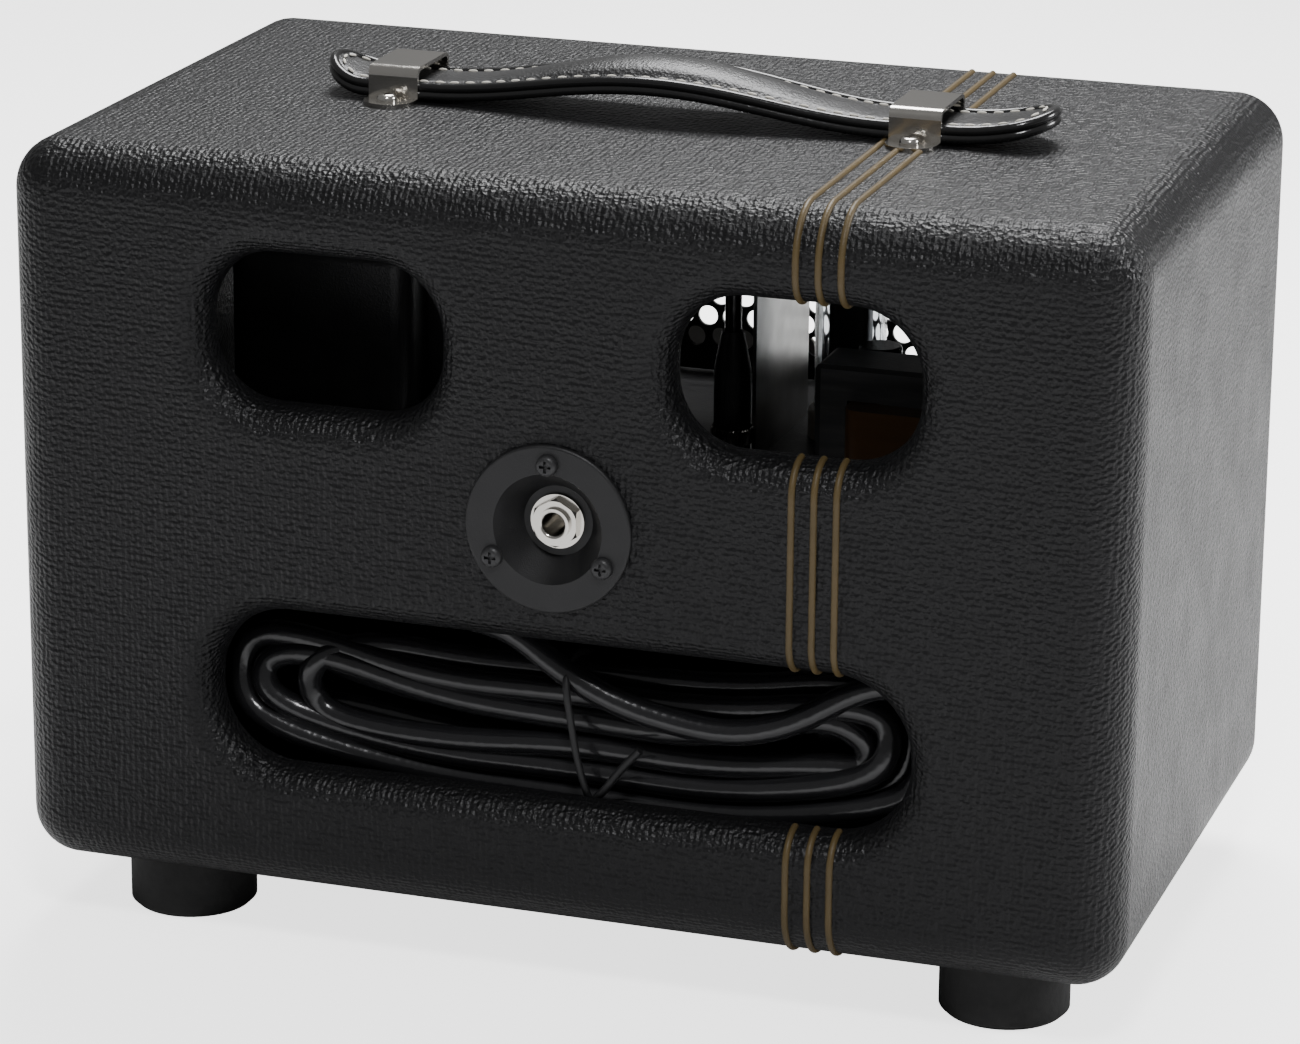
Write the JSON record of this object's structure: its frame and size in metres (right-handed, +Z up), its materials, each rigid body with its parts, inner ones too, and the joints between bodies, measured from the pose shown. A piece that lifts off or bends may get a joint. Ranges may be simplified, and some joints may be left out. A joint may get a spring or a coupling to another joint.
{
  "type": "guitar amplifier head",
  "caption": "Small valve guitar amplifier head in a covered box with strap handle, back vents, gold piping, speaker jack and a folded mains lead.",
  "frame": {"origin": "on the ground, under the middle of the four feet", "axes": "+Z up, +Y towards the back with the vents, +X along the width"},
  "size_m": [0.335, 0.2076, 0.2575],
  "materials": {
    "black_vinyl": "fine grained satin",
    "gold_bead": "dull gold",
    "nickel": "polished nickel",
    "steel": "plated sheet",
    "black_steel": "satin black",
    "black_plastic": "matte",
    "gloss_black": "gloss",
    "cord_rubber": "gloss",
    "foot_rubber": "mottled matte",
    "strap_skin": "stitched satin",
    "bare_wood": "plain planed",
    "glass": "clear",
    "electrode": "matt grey",
    "ceramic": "plain",
    "coil_paper": "varnished",
    "board_laminate": "satin",
    "brass_parts": "satin",
    "red_jewel": "faceted"
  },
  "bodies": {
    "root": {"board_components": "coil_paper", "board_pillars": "brass_parts", "cabinet": "black_vinyl", "chassis": "black_steel", "chassis_screws": "steel", "chassis_speaker_socket": "black_plastic", "circuit_board": "board_laminate", "clip_screws": "nickel", "control_panel": "black_steel", "dish_screws": "black_steel", "foot_screws": "steel", "front_badge": "nickel", "front_grille": "black_steel", "front_lower_board": "black_vinyl", "gold_piping": "gold_bead", "handle_clips": "nickel", "hank_tie": "black_plastic", "input_jack": "nickel", "jack_dish": "black_plastic", "mains_cord": "cord_rubber", "mains_cord_hank": "cord_rubber", "mains_plug": "black_plastic", "mains_transformer_bolts": "steel", "mains_transformer_core": "steel", "mains_transformer_covers": "black_steel", "output_transformer_coil": "coil_paper", "output_transformer_core": "steel", "output_transformer_frame": "black_steel", "output_transformer_screws": "steel", "panel_nuts": "nickel", "pilot_lamp_bezel": "nickel", "pilot_lamp_jewel": "red_jewel", "plug_blades": "brass_parts", "potentiometers": "steel", "power_valve_electrodes": "electrode", "power_valve_glass": "glass", "preamp_valve_electrodes": "electrode", "preamp_valve_glass": "glass", "rubber_feet": "foot_rubber", "shield_plate": "steel", "smoothing_capacitor": "gloss_black", "speaker_jack": "nickel", "speaker_jack_nut": "nickel", "speaker_jack_washer": "nickel", "speaker_lead": "cord_rubber", "speaker_plug": "black_plastic", "strain_relief": "black_plastic", "toggle_switch_bodies": "steel", "valve_sockets": "ceramic", "wooden_cleats": "bare_wood"},
    "gain_control": {"gain_knob": "gloss_black", "gain_shaft": "brass_parts"},
    "tone_control": {"tone_knob": "gloss_black", "tone_shaft": "brass_parts"},
    "volume_control": {"volume_knob": "gloss_black", "volume_shaft": "brass_parts"},
    "power_switch": {"power_lever": "nickel"},
    "standby_switch": {"standby_lever": "nickel"},
    "handle": {"handle_strap": "strap_skin"}
  },
  "joints": [
    {"name": "gain_turn", "type": "hinge", "parent": "root", "child": "gain_control", "pos_m": [-0.01, -0.084, 0.115], "axis": [0, -1, 0], "range_deg": [-150, 150]},
    {"name": "tone_turn", "type": "hinge", "parent": "root", "child": "tone_control", "pos_m": [-0.046, -0.084, 0.115], "axis": [0, -1, 0], "range_deg": [-150, 150]},
    {"name": "volume_turn", "type": "hinge", "parent": "root", "child": "volume_control", "pos_m": [-0.082, -0.084, 0.115], "axis": [0, -1, 0], "range_deg": [-150, 150]},
    {"name": "power_flip", "type": "hinge", "parent": "root", "child": "power_switch", "pos_m": [0.118, -0.088, 0.115], "axis": [-1, 0, 0], "range_deg": [0, 26]},
    {"name": "standby_flip", "type": "hinge", "parent": "root", "child": "standby_switch", "pos_m": [0.084, -0.088, 0.115], "axis": [-1, 0, 0], "range_deg": [0, 26]},
    {"name": "handle_lift", "type": "slide", "parent": "root", "child": "handle", "axis": [0, 0, 1], "range_m": [0, 0.0022]}
  ]
}
